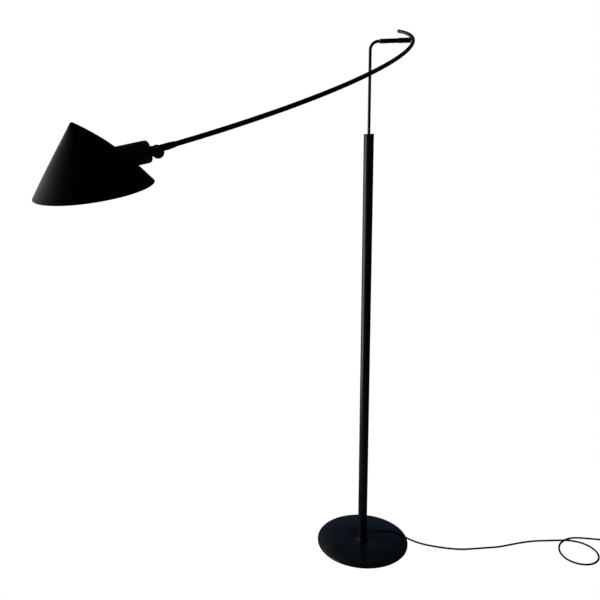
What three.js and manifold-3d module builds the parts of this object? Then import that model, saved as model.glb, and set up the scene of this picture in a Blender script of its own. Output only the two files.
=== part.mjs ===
// Adjustable arm floor lamp. Millimetres, +Z up, origin on the floor under the middle of the base.
import * as THREE from "three";
import { mergeVertices } from "three/addons/utils/BufferGeometryUtils.js";
import Module from "manifold-3d";

const wasm = await Module();
wasm.setup();

// ---------------------------------------------------------------- driving dimensions
const GAP = 0.3; // clearance left between touching pieces
const rad = THREE.MathUtils.degToRad;

const BASE_R = 140;
const PAD_R = 134;
const PAD_TOP = 2;
const PLATE_TOP = 9;
const POST_R = 13.75;
const POST_BORE = 11.75;
const POST_TOP = 1234;
const CAP_TOP = 1238;
const CAP_FROM = 1209;
const PLUG_TOP = 33;

const EXIT_Z = 47.5; // height of the cord outlet in the post
const EXIT_AZ = rad(-35);
const CORD_R = 2.75;
const OUTLET_R = 4.2; // hole for the cord in the post
const POST_WIRE_TOP = 740; // below the lowest place of the rod's own wire
const WIRE_R = 2.2; // two cores inside the rod

const ROD_R = 4;
const ROD_BORE = 2.8;
const ROD_FOOT = 940;
const BAR_Z = 1472;
const BEND_R = 21;
const BAR_AZ = rad(-4.7);
const BAR_END = 66;
const GUIDE_Z = 946;
const GUIDE_LONG = 26;

const ARC_CENTRE = new THREE.Vector3(-735.14, 204.46, 1365.22);
const ARC_R = 878.52;
const ARC_NORMAL = new THREE.Vector3(-0.189, -0.277, 0.942).normalize();
const JOINT_LONG = 110.4; // rod to the middle of the arm, along the bar
const ARM_R = 4.7;
const ARM_BORE = 3.4;
const HEAD_ANGLE = rad(-58.9); // arm runs from here
const TAIL_ANGLE = rad(16.9); // to here, measured round the arc from the bar

const FERRULE_R = 6.25;
const KNUCKLE_AHEAD = 22; // pivot lies this far past the end of the arm tube
const KNUCKLE_DROP = 3.9; // and this far under its line
const HEAD_ROLL = rad(10.65);
const HEAD_TILT = rad(-3.85);
const LUG_R = 11.3;
const LUG_OUT = 6.3;
const LUG_IN = 0.8;
const NECK_CLEAR = 13.5; // radius round the pivot that the neck leaves free beside the fork
const BOLT_R = 1.9;

const HOLDER_R = 19.5;
const HOLDER_RISE = 3.5; // holder line above the pivot
const HOLDER_BACK = 11.5;
const CUP_FROM = 21.3;
const CUP_TO = 76;
const SHADE_AT = [120.3, -39.2]; // middle of the rim from the pivot
const SHADE_LEAN = rad(3.4);
const SHADE_WALL = 1.2;
// height above the rim, radius, sideways shift of the tip
const SHADE_PROFILE = [
  [0, 103.7, 0],
  [29.8, 80.9, 0.4],
  [65.9, 50.3, 2.6],
  [79.4, 37.9, 4.3],
  [91, 26.3, 6.5],
  [101.5, 15.2, 9.1],
  [109.2, 6.9, 11.5],
  [112.7, 2.8, 12.7],
  [113.7, 0, 13.1],
];
const SHADE_SCREWS = [rad(128), rad(232)]; // round the holder, from straight up
const SHADE_SCREW_X = 64;

// middle line of the cord from the outlet to the coil, on and just above the floor
const CORD_POINTS = [
  [20.5, -14.3, 47.4],
  [31, -18.2, 47.5],
  [48, -18.2, 46.9],
  [66, -17.2, 45.1],
  [85, -15, 40.8],
  [102, -12.6, 34.4],
  [119, -10, 25.8],
  [133, -8.2, 17.2],
  [145, -8.8, 10.8],
  [158, -12.2, 6.2],
  [173, -18.4, 3.5],
  [194, -28.8, 2.85],
  [228, -41, 2.85],
  [262, -50.2, 2.85],
  [298, -55, 2.85],
  [336, -53.2, 2.85],
  [374, -49.8, 2.85],
  [411, -46.6, 2.85],
  [453, -36.6, 2.85],
  [494, -26.4, 2.85],
  [535, -19.8, 2.85],
  [572, -18.8, 2.85],
  [610, -18.2, 2.85],
  [645, -20.5, 2.85],
  [676, -34, 2.85],
  [695, -60, 2.85],
  [697, -92, 2.85],
  [680, -122, 2.85],
  [648, -139, 2.85],
  [615, -134, 2.85],
  [593.5, -113, 2.85],
  [588.5, -87, 2.85],
  [593.5, -62, 3.2],
  [607, -40, 5.2],
  [628, -26, 8.9],
  [650, -17.5, 9.1],
  [676, -12, 6.2],
  [706, -12, 3.3],
  [745, -19, 2.85],
  [785, -28, 2.85],
];
const COIL_AT = [812, 0];
const COIL_R = 30;
const COIL_SECTION = 5.6;
const LEAD_POINTS = [
  [826, -36.3, 2.85],
];
const PLUG_AT = [886, -20];
const PLUG_AZ = rad(14);

// ---------------------------------------------------------------- materials
const paint = (color, roughness = 0.5, metalness = 0.2) => ({ color, roughness, metalness });
const BLACK = paint(0x0c0c0f);
const DISC_BLACK = paint(0x0a0c14, 0.45, 0.2);
const POST_BLACK = paint(0x151312, 0.42, 0.3);
const SHADE_BLACK = paint(0x0b0c0b, 0.6, 0.1);
const PLASTIC = paint(0x0e0e0e, 0.55, 0);
const RUBBER = paint(0x1a1a1a, 0.9, 0);
const GREY_RUBBER = paint(0x5a5854, 0.8, 0);
const STEEL = paint(0x9a9ca0, 0.35, 1);
const BRASS = paint(0xb08d4a, 0.35, 1);
const CERAMIC = paint(0xe9e4da, 0.3, 0);
const GLASS = paint(0xf2f2ee, 0.2, 0);
const CORD_BLACK = paint(0x111112, 0.6, 0);
const CORE_WHITE = paint(0xd9d6cc, 0.6, 0);

// ---------------------------------------------------------------- solids
function toSolid(geometry) {
  const bare = geometry.clone();
  bare.deleteAttribute("normal");
  bare.deleteAttribute("uv");
  const merged = mergeVertices(bare, 1e-4);
  const position = merged.attributes.position;
  const kept = [];
  let volume = 0;
  const [a, b, c] = [new THREE.Vector3(), new THREE.Vector3(), new THREE.Vector3()];
  for (let i = 0; i < merged.index.count; i += 3) {
    const corner = [0, 1, 2].map((k) => merged.index.getX(i + k));
    if (new Set(corner).size < 3) continue;
    a.fromBufferAttribute(position, corner[0]);
    b.fromBufferAttribute(position, corner[1]);
    c.fromBufferAttribute(position, corner[2]);
    volume += a.dot(b.clone().cross(c));
    kept.push(corner);
  }
  const faces = volume < 0 ? kept.map(([p, q, r]) => [p, r, q]) : kept;
  const mesh = new wasm.Mesh({
    numProp: 3,
    vertProperties: Float32Array.from(position.array),
    triVerts: Uint32Array.from(faces.flat()),
  });
  return new wasm.Manifold(mesh);
}

function toGeometry(solid) {
  const mesh = solid.getMesh();
  const geometry = new THREE.BufferGeometry();
  const points = [];
  for (let i = 0; i < mesh.numVert; i++) {
    points.push(...mesh.vertProperties.slice(i * mesh.numProp, i * mesh.numProp + 3));
  }
  geometry.setAttribute("position", new THREE.Float32BufferAttribute(points, 3));
  geometry.setIndex(Array.from(mesh.triVerts));
  return geometry;
}

const tidy = (geometry) => toGeometry(toSolid(geometry));
const cut = (body, ...tools) =>
  toGeometry(tools.reduce((left, tool) => left.subtract(toSolid(tool)), toSolid(body)));
const join = (body, ...more) =>
  toGeometry(more.reduce((sum, piece) => sum.add(toSolid(piece)), toSolid(body)));
const common = (body, other) => toGeometry(toSolid(body).intersect(toSolid(other)));

// solid of revolution round Z from [radius, height] pairs
function turned(profile, segments = 20) {
  const points = profile.map(([r, z]) => new THREE.Vector2(r, z));
  return tidy(new THREE.LatheGeometry(points, segments).rotateX(Math.PI / 2));
}

function disc(radius, from, to, segments = 20) {
  return turned([[0, from], [radius, from], [radius, to], [0, to]], segments);
}

function pipe(inner, outer, from, to, segments = 20) {
  return turned([[inner, from], [outer, from], [outer, to], [inner, to], [inner, from]], segments);
}

function block(x, y, z) {
  const box = new THREE.BoxGeometry(x[1] - x[0], y[1] - y[0], z[1] - z[0]);
  return box.translate((x[0] + x[1]) / 2, (y[0] + y[1]) / 2, (z[0] + z[1]) / 2);
}

// hexagonal prism round Z
function hexagon(acrossFlats, from, to) {
  const corner = acrossFlats / Math.sqrt(3);
  return turned([[0, from], [corner, from], [corner, to], [0, to]], 6);
}

const alongX = (geometry) => geometry.rotateY(Math.PI / 2);
const alongY = (geometry) => geometry.rotateX(-Math.PI / 2);

// ---------------------------------------------------------------- tubes
class StationPath extends THREE.Curve {
  constructor(stations) {
    super();
    this.stations = stations;
  }

  getPoint(t) {
    const last = this.stations.length - 1;
    const i = Math.min(last - 1, Math.floor(t * last + 1e-9));
    return this.stations[i].clone().lerp(this.stations[i + 1], t * last - i);
  }

  getPointAt(u) {
    return this.getPoint(u);
  }

  getTangentAt(u) {
    const last = this.stations.length - 1;
    const i = Math.round(u * last);
    const before = this.stations[Math.max(0, i - 1)];
    const after = this.stations[Math.min(last, i + 1)];
    return after.clone().sub(before).normalize();
  }
}

function ring(radius, sides) {
  const outline = new THREE.Shape();
  for (let i = 0; i < sides; i++) {
    const angle = (2 * Math.PI * i) / sides;
    const point = [radius * Math.cos(angle), radius * Math.sin(angle)];
    if (i === 0) outline.moveTo(...point);
    else outline.lineTo(...point);
  }
  outline.closePath();
  return outline;
}

function tube(stations, radius, bore = 0, sides = 12) {
  const section = ring(radius, sides);
  if (bore > 0) section.holes.push(ring(bore, sides));
  const options = {
    steps: stations.length - 1,
    bevelEnabled: false,
    extrudePath: new StationPath(stations),
    curveSegments: 1,
  };
  return tidy(new THREE.ExtrudeGeometry(section, options));
}

function smooth(points, steps) {
  const knots = points.map((p) => (p.isVector3 ? p : new THREE.Vector3(...p)));
  return new THREE.CatmullRomCurve3(knots, false, "centripetal").getSpacedPoints(steps);
}

// ---------------------------------------------------------------- directions of the bar and the arm
const BAR = new THREE.Vector3(Math.cos(BAR_AZ), Math.sin(BAR_AZ), 0);
const onBar = (distance) => BAR.clone().multiplyScalar(distance).setZ(BAR_Z);

const RADIAL = onBar(JOINT_LONG).sub(ARC_CENTRE).projectOnPlane(ARC_NORMAL).normalize();
const FORWARD = ARC_NORMAL.clone().cross(RADIAL);

function onArc(angle) {
  const out = RADIAL.clone().multiplyScalar(ARC_R * Math.cos(angle));
  return out.addScaledVector(FORWARD, ARC_R * Math.sin(angle)).add(ARC_CENTRE);
}

function arcDirection(angle) {
  const along = FORWARD.clone().multiplyScalar(Math.cos(angle));
  return along.addScaledVector(RADIAL, -Math.sin(angle));
}

function arcStations(from, to, steps) {
  return Array.from({ length: steps + 1 }, (_, i) => onArc(from + ((to - from) * i) / steps));
}

// ---------------------------------------------------------------- assembly helpers
const group = new THREE.Group();

function add(parent, name, geometry, look) {
  const mesh = new THREE.Mesh(geometry, new THREE.MeshStandardMaterial(look));
  mesh.name = name;
  parent.add(mesh);
  return mesh;
}

function frame(parent, origin, x, y, z) {
  const holder = new THREE.Group();
  holder.position.copy(origin);
  holder.quaternion.setFromRotationMatrix(new THREE.Matrix4().makeBasis(x, y, z));
  parent.add(holder);
  return holder;
}

// ---------------------------------------------------------------- base and post
function buildBase() {
  const recess = 5.6;
  const boltR = 6;
  add(group, "base_pad", disc(PAD_R, 0, PAD_TOP, 40), RUBBER);
  const plate = turned(
    [
      [boltR + 0.4, recess],
      [14, recess],
      [14, PAD_TOP + GAP],
      [BASE_R - 0.8, PAD_TOP + GAP],
      [BASE_R, PAD_TOP + 1.1],
      [BASE_R, PLATE_TOP - 1.6],
      [BASE_R - 0.5, PLATE_TOP - 0.5],
      [BASE_R - 1.7, PLATE_TOP],
      [boltR + 0.4, PLATE_TOP],
      [boltR + 0.4, recess],
    ],
    48,
  );
  add(group, "base_plate", plate, DISC_BLACK);
  const shank = disc(boltR - 0.6, PAD_TOP + 1, 28, 20);
  add(group, "fixing_bolt", join(hexagon(19, PAD_TOP + GAP, 4.2), shank), STEEL);
  add(group, "lock_washer", pipe(boltR + 0.2, 11.5, 4.5, recess - GAP, 24), STEEL);
  const footPlug = turned([
    [boltR, PLATE_TOP + GAP],
    [POST_BORE - GAP, PLATE_TOP + GAP],
    [POST_BORE - GAP, PLUG_TOP - 1],
    [POST_BORE - GAP - 1, PLUG_TOP],
    [boltR, PLUG_TOP],
    [boltR, PLATE_TOP + GAP],
  ]);
  add(group, "foot_plug", footPlug, STEEL);
}

function outletTool(radius, from, to) {
  const drill = alongX(disc(radius, from, to, 20));
  return drill.rotateZ(EXIT_AZ).translate(0, 0, EXIT_Z);
}

function buildPost() {
  const wall = pipe(POST_BORE, POST_R, PLATE_TOP + GAP, POST_TOP, 28);
  add(group, "post_tube", cut(wall, outletTool(OUTLET_R, 0, POST_R + 5)), POST_BLACK);
  const collarZ = [PLATE_TOP + GAP, PLATE_TOP + 6];
  const collarR = POST_R + 4.2;
  const screwHole = alongX(disc(1.9, POST_R, 20, 12)).rotateZ(Math.PI / 2);
  screwHole.translate(0, 0, PLATE_TOP + 3.2);
  const collar = turned([
    [POST_R + GAP, collarZ[0]],
    [collarR, collarZ[0]],
    [collarR, collarZ[1] - 1],
    [collarR - 1, collarZ[1]],
    [POST_R + GAP, collarZ[1]],
    [POST_R + GAP, collarZ[0]],
  ]);
  add(group, "foot_collar", cut(collar, screwHole), POST_BLACK);
  const screw = alongX(disc(1.5, POST_R + GAP, collarR - 0.3, 12)).rotateZ(Math.PI / 2);
  add(group, "collar_screw", screw.translate(0, 0, PLATE_TOP + 3.2), STEEL);
  const flange = POST_R + 0.6;
  const cap = turned([
    [ROD_R + GAP, CAP_FROM],
    [POST_BORE - GAP, CAP_FROM],
    [POST_BORE - GAP, POST_TOP + GAP],
    [flange, POST_TOP + GAP],
    [flange, CAP_TOP - 0.8],
    [flange - 0.8, CAP_TOP],
    [ROD_R + GAP, CAP_TOP],
    [ROD_R + GAP, CAP_FROM],
  ]);
  add(group, "post_cap", cap, BLACK);
  const gland = turned(
    [
      [CORD_R + GAP, POST_BORE - 0.6],
      [OUTLET_R - GAP, POST_BORE - 0.6],
      [OUTLET_R - GAP, POST_R + GAP],
      [5.4, POST_R + GAP],
      [5.4, POST_R + 1.6],
      [4.4, POST_R + 3.4],
      [CORD_R + GAP, POST_R + 3.4],
      [CORD_R + GAP, POST_BORE - 0.6],
    ],
    20,
  );
  const set = alongX(gland).rotateZ(EXIT_AZ).translate(0, 0, EXIT_Z);
  add(group, "cord_gland", set, PLASTIC);
  add(group, "cord_clamp", pipe(CORD_R + GAP, 7.5, 70, 80, 20), PLASTIC);
}

function outletPoint(distance) {
  return new THREE.Vector3(distance * Math.cos(EXIT_AZ), distance * Math.sin(EXIT_AZ), EXIT_Z);
}

function buildPostWire() {
  const bend = [outletPoint(10.6), outletPoint(8), [2.2, -1.6, 52.5], [0, 0, 61], [0, 0, 72]];
  const stations = [...smooth(bend, 10), new THREE.Vector3(0, 0, POST_WIRE_TOP)];
  add(group, "post_wire", tube(stations, CORD_R - 0.15, 0, 10), CORD_BLACK);
}

// ---------------------------------------------------------------- cord on the floor
function buildCord() {
  const knots = [outletPoint(11), outletPoint(15), ...CORD_POINTS];
  add(group, "power_cord", tube(smooth(knots, 80), CORD_R, 0, 8), CORD_BLACK);
  const coil = [];
  for (let i = 0; i <= 8; i++) {
    const angle = (2 * Math.PI * i) / 8;
    coil.push([COIL_R + COIL_SECTION * Math.cos(angle), COIL_SECTION * (1 + Math.sin(angle)) + 0.05]);
  }
  add(group, "cord_coil", turned(coil, 24).translate(...COIL_AT, 0), CORD_BLACK);
}

function buildPlug() {
  const plug = frame(
    group,
    new THREE.Vector3(...PLUG_AT, 0),
    new THREE.Vector3(Math.cos(PLUG_AZ), Math.sin(PLUG_AZ), 0),
    new THREE.Vector3(-Math.sin(PLUG_AZ), Math.cos(PLUG_AZ), 0),
    new THREE.Vector3(0, 0, 1),
  );
  const outline = new THREE.Shape();
  outline.moveTo(0, -7);
  outline.lineTo(10, -12.5);
  outline.lineTo(33, -13);
  outline.lineTo(35, -11.5);
  outline.lineTo(35, 11.5);
  outline.lineTo(33, 13);
  outline.lineTo(10, 12.5);
  outline.lineTo(0, 7);
  outline.closePath();
  const bevel = { depth: 10, bevelThickness: 1.6, bevelSize: 1.4, bevelSegments: 2, bevelOffset: -1.4 };
  const body = tidy(new THREE.ExtrudeGeometry(outline, bevel).translate(0, 0, 1.65));
  const pinZ = 6.6;
  const holes = [-9.3, 9.3].map((y) => alongX(disc(2.3, 24, 40, 16)).translate(0, y, pinZ));
  const mouth = alongX(disc(3.1, -5, 6, 16)).translate(0, 0, pinZ);
  add(plug, "plug_body", cut(body, ...holes, mouth), PLASTIC);
  [-9.3, 9.3].forEach((y, i) => {
    const pin = turned([[0, 24.5], [2, 24.5], [2, 53.2], [1.2, 54.4], [0, 54.4]], 16);
    add(plug, `plug_pin_${i + 1}`, alongX(pin).translate(0, y, pinZ), BRASS);
  });
  const relief = turned(
    [
      [CORD_R + 0.5, -0.4],
      [5.4, -0.4],
      [4.9, -16],
      [3.9, -32],
      [CORD_R + 0.5, -32],
      [CORD_R + 0.5, -0.4],
    ],
    16,
  );
  add(plug, "strain_relief", alongX(relief).translate(0, 0, pinZ), RUBBER);
  plug.updateMatrixWorld(true);
  const tip = plug.localToWorld(new THREE.Vector3(5, 0, pinZ));
  const mid = plug.localToWorld(new THREE.Vector3(-16, 0, pinZ));
  const out = plug.localToWorld(new THREE.Vector3(-34, 0, pinZ));
  const back = plug.localToWorld(new THREE.Vector3(-48, -0.3, 3.7));
  const lead = smooth([tip, mid, out, back, ...LEAD_POINTS], 14);
  add(group, "plug_lead", tube(lead, CORD_R, 0, 10), CORD_BLACK);
}

// ---------------------------------------------------------------- sliding, swivelling rod
function buildSlider() {
  const top = GUIDE_Z + GUIDE_LONG;
  const guide = turned([
    [ROD_R + GAP, GUIDE_Z],
    [POST_BORE - 0.4, GUIDE_Z],
    [POST_BORE - 0.4, GUIDE_Z + 10],
    [8.6, GUIDE_Z + 10],
    [8.6, GUIDE_Z + 16],
    [POST_BORE - 0.4, GUIDE_Z + 16],
    [POST_BORE - 0.4, top],
    [ROD_R + GAP, top],
    [ROD_R + GAP, GUIDE_Z],
  ]);
  add(group, "rod_guide", guide, PLASTIC);
  add(group, "friction_ring", pipe(8.9, POST_BORE - GAP, GUIDE_Z + 10.4, GUIDE_Z + 15.6, 28), RUBBER);
}

function rodStations(from, to, bendSteps) {
  const stations = [new THREE.Vector3(0, 0, from)];
  for (let i = 0; i <= bendSteps; i++) {
    const angle = (Math.PI / 2) * (i / bendSteps);
    const out = BEND_R * (1 - Math.cos(angle));
    stations.push(onBar(out).setZ(BAR_Z - BEND_R + BEND_R * Math.sin(angle)));
  }
  stations.push(onBar(to));
  return stations;
}

function buildRod() {
  add(group, "rod_tube", tube(rodStations(ROD_FOOT, BAR_END, 8), ROD_R, ROD_BORE, 12), BLACK);
  add(group, "rod_wire", tube(rodStations(ROD_FOOT - 5, BAR_END - 2, 6), WIRE_R, 0, 6), CORE_WHITE);
  add(group, "guide_clip_lower", pipe(ROD_R + GAP, 7, GUIDE_Z - 1.6, GUIDE_Z - GAP, 20), STEEL);
  const top = GUIDE_Z + GUIDE_LONG;
  add(group, "guide_clip_upper", pipe(ROD_R + GAP, 7, top + GAP, top + 1.6, 20), STEEL);
  const bar = barFrame(group);
  add(bar, "bar_collar", alongX(pipe(ROD_R + GAP, 6.3, 24.4, 26.8, 24)), STEEL);
  add(bar, "bar_end_nut", alongX(pipe(ROD_R + GAP, 5.3, 60.6, 64.6, 20)), STEEL);
}

function barFrame(parent) {
  const side = new THREE.Vector3(0, 0, 1).cross(BAR);
  return frame(parent, new THREE.Vector3(0, 0, BAR_Z), BAR, side, new THREE.Vector3(0, 0, 1));
}

// ---------------------------------------------------------------- curved arm
function buildArm() {
  const bar = barFrame(group);
  const sleeve = turned(
    [
      [ROD_R + GAP, 27.3],
      [5.4, 27.3],
      [5.75, 27.8],
      [5.75, 72.7],
      [5.6, 72.7],
      [5.6, 60],
      [ROD_R + GAP, 60],
      [ROD_R + GAP, 27.3],
    ],
    24,
  );
  add(bar, "pivot_sleeve", alongX(tidy(sleeve)), POST_BLACK);
  const body = turned(
    [
      [2.6, 73],
      [6.1, 73],
      [6.5, 73.6],
      [6.5, 103.9],
      [6, 104.6],
      [2.6, 104.6],
      [2.6, 73],
    ],
    24,
  );
  add(bar, "arm_block", alongX(body), BLACK);

  const wall = tube(arcStations(HEAD_ANGLE, TAIL_ANGLE, 32), ARM_R, ARM_BORE, 10);
  const hole = tube([onBar(JOINT_LONG - 8), onBar(JOINT_LONG - 1)], 2.5, 0, 12);
  add(group, "arm_tube", cut(wall, hole), BLACK);
  add(group, "arm_wire", armWire(), CORE_WHITE);

  const tail = frameAlong(group, onArc(TAIL_ANGLE), arcDirection(TAIL_ANGLE), 0);
  const stopper = turned(
    [
      [0, -11],
      [2.6, -11],
      [3.05, -10],
      [3.05, GAP],
      [4.9, GAP],
      [4.9, 8.5],
      [4.1, 9.8],
      [0, 9.8],
    ],
    20,
  );
  add(tail, "arm_end_plug", alongX(stopper), GREY_RUBBER);

  const end = frameAlong(group, onArc(HEAD_ANGLE), arcDirection(HEAD_ANGLE).negate(), 0);
  const ferrule = turned(
    [
      [ARM_R + 0.4, -12],
      [ARM_R + 0.7, -12],
      [FERRULE_R, 2],
      [FERRULE_R, 7],
      [4.3, 7],
      [4.3, 0.4],
      [ARM_R + 0.4, 0.4],
      [ARM_R + 0.4, -12],
    ],
    24,
  );
  const tapped = disc(1.3, 0, 8, 10).translate(4, 0, 0);
  add(end, "arm_ferrule", cut(alongX(ferrule), tapped), BLACK);
  add(end, "ferrule_screw", disc(1, 3.5, 5.9, 10).translate(4, 0, 0), STEEL);
}

function armWire() {
  const start = smooth([onBar(68), onBar(90), onBar(104), onBar(107.6)], 6);
  const turn = onBar(JOINT_LONG - 0.6).addScaledVector(arcDirection(0), -1.6);
  const rest = arcStations(rad(-0.6), HEAD_ANGLE, 22);
  return tube([...start, turn, ...rest], 1.4, 0, 6);
}

// frame with its X axis along a direction and its Z axis upwards, turned about X by an angle
function frameAlong(parent, origin, direction, roll) {
  const up = new THREE.Vector3(0, 0, 1).projectOnPlane(direction).normalize();
  const side = up.clone().cross(direction);
  const z = up.clone().multiplyScalar(Math.cos(roll)).addScaledVector(side, Math.sin(roll));
  return frame(parent, origin, direction, z.clone().cross(direction), z);
}

// ---------------------------------------------------------------- knuckle
const lugDisc = (from, to, radius = LUG_R) => alongY(disc(radius, from, to, 20));
const armEnd = frameAlong(group, onArc(HEAD_ANGLE), arcDirection(HEAD_ANGLE).negate(), HEAD_ROLL);
const fork = new THREE.Group();
fork.position.set(KNUCKLE_AHEAD, 0, -KNUCKLE_DROP);
armEnd.add(fork);

function buildFork() {
  const shaft = alongX(
    turned(
      [
        [0, -21.2],
        [3.9, -21.2],
        [3.9, -19.4],
        [3.1, -19.4],
        [3.1, -16.6],
        [3.9, -16.6],
        [3.9, -14.7],
        [FERRULE_R - 0.5, -14.7],
        [FERRULE_R, -14.2],
        [FERRULE_R, -3.5],
        [0, -3.5],
      ],
      24,
    ),
  ).translate(0, 0, KNUCKLE_DROP);
  const wireWay = alongX(disc(1.8, -30, 20, 12)).translate(0, 0, KNUCKLE_DROP);
  const body = join(shaft, lugDisc(-LUG_OUT, -LUG_IN));
  const clear = lugDisc(LUG_IN - GAP, LUG_OUT + 2, LUG_R + 0.4);
  const gapDisc = lugDisc(-LUG_IN, LUG_IN, LUG_R + 0.4);
  const bolt = lugDisc(-20, 20, BOLT_R + GAP);
  add(fork, "knuckle_fork", cut(body, clear, gapDisc, wireWay, bolt), BLACK);
  const spacer = alongY(pipe(BOLT_R + GAP, 3.2, -0.5, 0.5, 20));
  add(fork, "friction_washer", spacer, STEEL);
  const stud = join(alongY(disc(BOLT_R, -12.5, 12.4, 16)), alongY(disc(3.4, -12.5, -10.6, 20)));
  add(fork, "pivot_bolt", stud, STEEL);
  const nut = cut(alongY(hexagon(7, -10.3, -6.6)), lugDisc(-20, 20, BOLT_R + GAP));
  add(fork, "pivot_nut", nut, STEEL);
}

function buildKnob() {
  const teeth = 12;
  let knob = alongY(turned([[0, 6.7], [9, 6.7], [10, 7.6], [10, 13], [8.6, 14.2], [0, 14.2]], 20));
  const grooves = [];
  for (let i = 0; i < teeth; i++) {
    const angle = (2 * Math.PI * i) / teeth;
    const groove = alongY(disc(0.9, 6, 15, 5));
    grooves.push(groove.translate(10.3 * Math.cos(angle), 0, 10.3 * Math.sin(angle)));
  }
  knob = cut(knob, lugDisc(0, 12.7, BOLT_R + GAP), ...grooves);
  add(fork, "clamp_knob", knob, BLACK);
}

// ---------------------------------------------------------------- head
const head = new THREE.Group();
head.rotation.y = HEAD_TILT;
fork.add(head);

function onHolder(profile, segments = 24) {
  return alongX(turned(profile, segments)).translate(0, 0, HOLDER_RISE);
}

function buildHolder() {
  const neck = block([0, HOLDER_BACK - GAP], [-5, LUG_OUT], [-5.5, LUG_R]);
  const lug = join(neck, lugDisc(LUG_IN, LUG_OUT));
  const clear = lugDisc(-LUG_OUT - 2, LUG_IN, NECK_CLEAR);
  const wireWay = alongX(disc(2.5, -20, 30, 12)).translate(0, 0, HOLDER_RISE);
  add(head, "head_lug", cut(lug, clear, wireWay, lugDisc(-20, 20, BOLT_R + GAP)), BLACK);

  const cap = onHolder([
    [2.2, HOLDER_BACK],
    [15.5, HOLDER_BACK],
    [18.6, HOLDER_BACK + 3],
    [HOLDER_R, HOLDER_BACK + 6.4],
    [HOLDER_R, 21],
    [18, 21],
    [18, 27],
    [16.6, 27],
    [16.6, HOLDER_BACK + 6.5],
    [14, HOLDER_BACK + 2],
    [2.2, HOLDER_BACK + 2],
    [2.2, HOLDER_BACK],
  ]);
  add(head, "holder_cap", cap, BLACK);
  const cup = onHolder([
    [18.3, CUP_FROM],
    [HOLDER_R, CUP_FROM],
    [HOLDER_R, CUP_TO - 0.6],
    [HOLDER_R - 0.5, CUP_TO],
    [18.3, CUP_TO],
    [18.3, CUP_FROM],
  ]);
  add(head, "holder_cup", cup, BLACK);
  const core = onHolder(
    [
      [2.2, 42],
      [17.9, 42],
      [17.9, 72],
      [15, 72],
      [15, 48.6],
      [2.2, 48.6],
      [2.2, 42],
    ],
    24,
  );
  add(head, "holder_core", core, CERAMIC);
  const shell = onHolder(
    [
      [9, 49],
      [14.7, 49],
      [14.7, 71],
      [13.7, 71],
      [13.7, 50],
      [9, 50],
      [9, 49],
    ],
    20,
  );
  add(head, "screw_shell", shell, BRASS);
  add(head, "centre_contact", onHolder([[0, 49], [4.4, 49], [4.4, 50.4], [2, 51.6], [0, 51.6]], 20), BRASS);
}

function buildBulb() {
  const cap = onHolder(
    [
      [0, 52],
      [4.2, 52],
      [5, 54],
      [12.6, 56],
      [12.6, 78],
      [11.4, 78],
      [11.4, 58],
      [0, 56],
    ],
    20,
  );
  add(head, "bulb_cap", cap, STEEL);
  const outer = [
    [11, 78.4],
    [13, 78.4],
    [14.6, 88],
    [25.4, 110],
    [29.6, 128],
    [27.6, 141],
    [20.6, 152],
    [9, 158.6],
    [0, 160],
  ];
  const inner = outer.slice(1, -1).reverse().map(([r, x]) => [r - 1.2, Math.min(x + 0.4, 158)]);
  const glass = onHolder([...outer.slice(1), [0, 158.6], ...inner.slice(0, -1), [11.8, 78.4], outer[1]], 20);
  add(head, "bulb_glass", glass, GLASS);
}

function hat(inset, floor, apexDrop) {
  const profile = SHADE_PROFILE.map(([z, r]) => [Math.max(0, r - inset), z - apexDrop]);
  profile[0][1] = floor;
  const points = [[0, floor], ...profile].map(([r, z]) => new THREE.Vector2(r, z));
  const geometry = new THREE.LatheGeometry(points, 36).rotateX(Math.PI / 2);
  const position = geometry.attributes.position;
  for (let i = 0; i < position.count; i++) {
    position.setX(i, position.getX(i) + tipShift(position.getZ(i) + apexDrop));
  }
  return geometry.rotateY(-SHADE_LEAN).translate(SHADE_AT[0], 0, SHADE_AT[1]);
}

function tipShift(height) {
  for (let i = 1; i < SHADE_PROFILE.length; i++) {
    const [z0, , s0] = SHADE_PROFILE[i - 1];
    const [z1, , s1] = SHADE_PROFILE[i];
    if (height <= z1 + 0.01) return s0 + ((s1 - s0) * Math.max(0, height - z0)) / (z1 - z0);
  }
  return SHADE_PROFILE.at(-1)[2];
}

function buildShade() {
  const outer = hat(0, 0, 0);
  const inset = SHADE_WALL * 1.35;
  const inner = hat(inset, -2, 0.9);
  const bore = HOLDER_R + 0.4;
  const collar = common(alongX(pipe(bore, bore + 1.4, 20, 74, 24)).translate(0, 0, HOLDER_RISE), outer);
  let shell = join(cut(outer, inner), collar);
  const drill = onHolder([[0, -60], [bore, -60], [bore, 78], [0, 78]]);
  const screwHoles = SHADE_SCREWS.map((angle) => screwAt(disc(1.6, 10, 30, 12), angle));
  shell = cut(shell, drill, ...screwHoles);
  add(head, "shade", shell, SHADE_BLACK);
  SHADE_SCREWS.forEach((angle, i) => {
    const screw = join(disc(1.25, 19.8, 22, 12), disc(2.6, 21.8, 23.6, 16));
    add(head, `shade_screw_${i + 1}`, screwAt(screw, angle), STEEL);
  });
}

// radial position round the holder line, the angle measured from straight up
function screwAt(geometry, angle) {
  return geometry.rotateX(angle).translate(SHADE_SCREW_X, 0, HOLDER_RISE);
}

function buildHeadWire() {
  const z = HOLDER_RISE;
  const stations = [12.5, 28, 43].map((x) => new THREE.Vector3(x, 0, z));
  add(head, "head_wire", tube(stations, 1.2, 0, 8), CORE_WHITE);
}

buildBase();
buildPost();
buildPostWire();
buildCord();
buildPlug();
buildSlider();
buildRod();
buildArm();
buildFork();
buildKnob();
buildHolder();
buildBulb();
buildShade();
buildHeadWire();

export default group;
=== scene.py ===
from math import cos, pi, radians, sin, sqrt

import bmesh
import bpy
from mathutils import Matrix, Vector


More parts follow.
